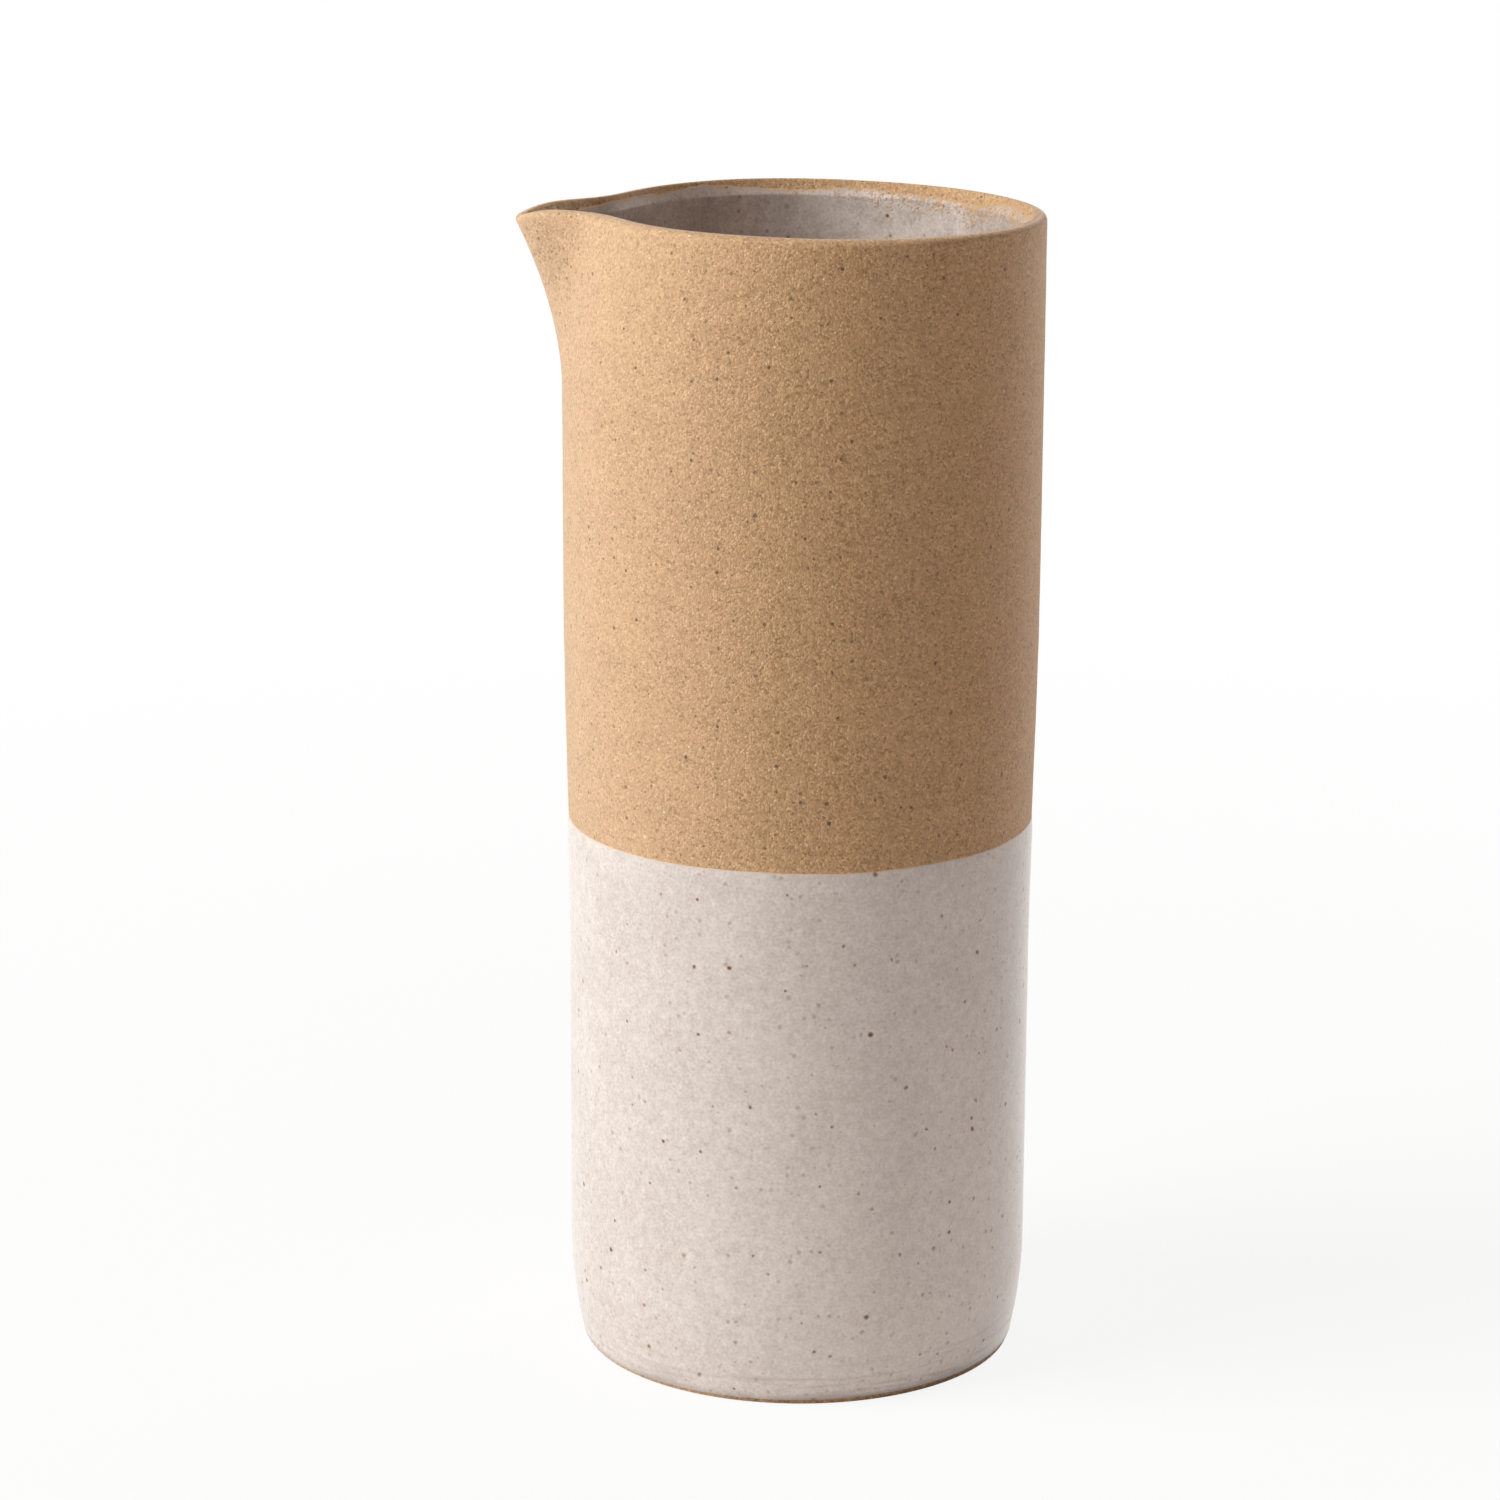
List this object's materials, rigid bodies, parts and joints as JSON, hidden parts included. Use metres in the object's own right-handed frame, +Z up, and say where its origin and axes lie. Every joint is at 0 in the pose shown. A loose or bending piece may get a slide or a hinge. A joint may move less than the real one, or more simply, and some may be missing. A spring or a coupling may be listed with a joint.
{
  "type": "stoneware jug",
  "caption": "Tall straight stoneware jug without a handle, with a pulled pouring lip, a bare clay upper half and a glazed lower half and inside.",
  "frame": {"origin": "middle of the foot, on the surface that the jug stands on", "axes": "+Z up along the jug's axis, -X towards the tip of the pouring lip, +Y to the back as the picture sees it"},
  "size_m": [0.0984, 0.09, 0.2206],
  "materials": {
    "clay": "bare fired stoneware, matt, sandy and speckled",
    "glaze": "off-white satin glaze with rust-brown specks"
  },
  "bodies": {
    "root": {"clay_body": "clay", "outer_glaze": "glaze", "liner_glaze": "glaze"}
  },
  "joints": []
}
